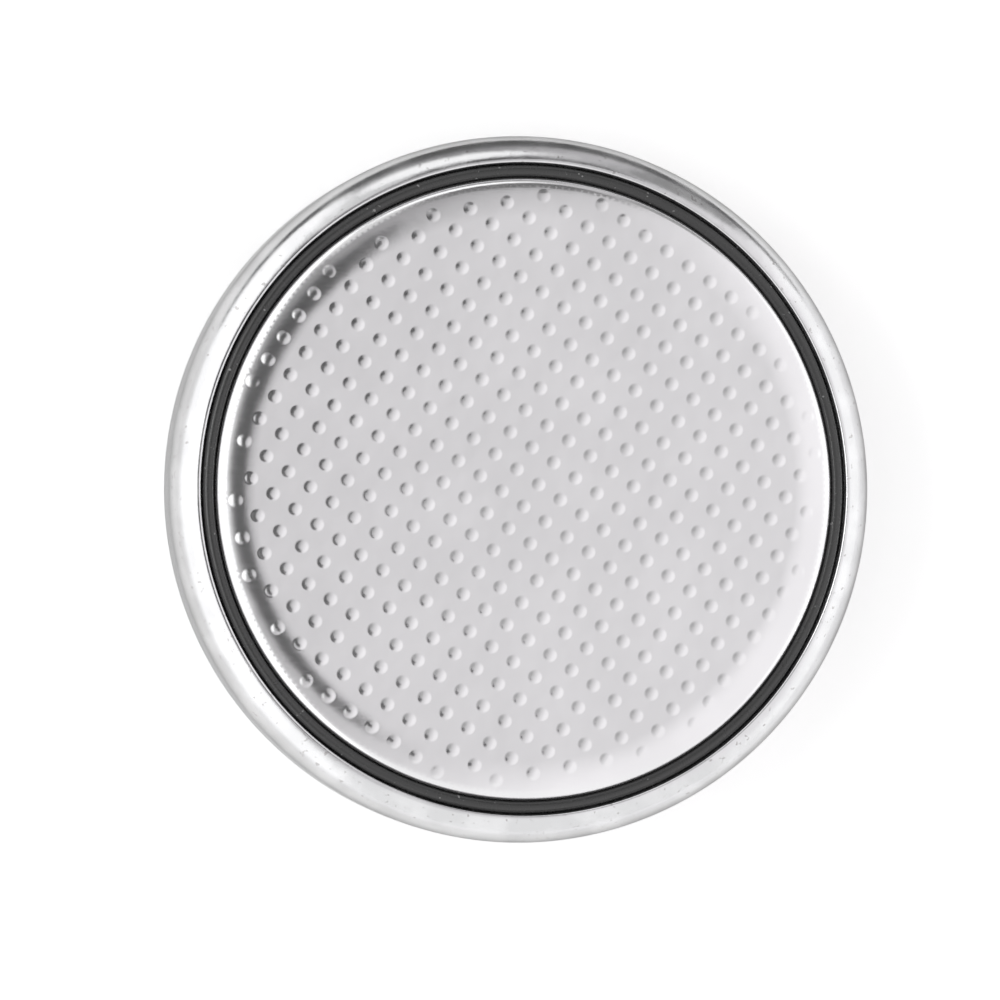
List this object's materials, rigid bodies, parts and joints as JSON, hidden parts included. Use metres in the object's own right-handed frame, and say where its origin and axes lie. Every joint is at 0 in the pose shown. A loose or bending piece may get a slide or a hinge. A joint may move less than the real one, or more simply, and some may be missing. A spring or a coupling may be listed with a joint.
{
  "type": "lithium coin cell",
  "caption": "Round flat lithium coin cell with a crimped steel can, a black sealing ring and a negative cap covered in small raised bumps.",
  "frame": {"origin": "centre of the flat positive face that the cell lies on", "axes": "+Z along the cell's axis, from the positive face out of the negative cap; +X and +Y in the plane of the face, with the picture's right along +X and its top along +Y"},
  "size_m": [0.02, 0.02, 0.0032],
  "materials": {
    "can_steel": "nickel-plated stainless sheet, satin with rolling marks",
    "cap_steel": "nickel-plated stainless sheet, semi-bright, rolled with small raised bumps",
    "gasket_plastic": "black polypropylene, slightly glossy",
    "lithium_foil": "dull soft metal",
    "separator_felt": "white non-woven fibre",
    "cathode_mix": "matt black pressed powder",
    "ring_steel": "plain stainless"
  },
  "bodies": {
    "root": {"positive_can": "can_steel", "sealing_gasket": "gasket_plastic", "negative_cap": "cap_steel", "lithium_anode": "lithium_foil", "separator": "separator_felt", "cathode_pellet": "cathode_mix", "cathode_ring": "ring_steel"}
  },
  "joints": []
}
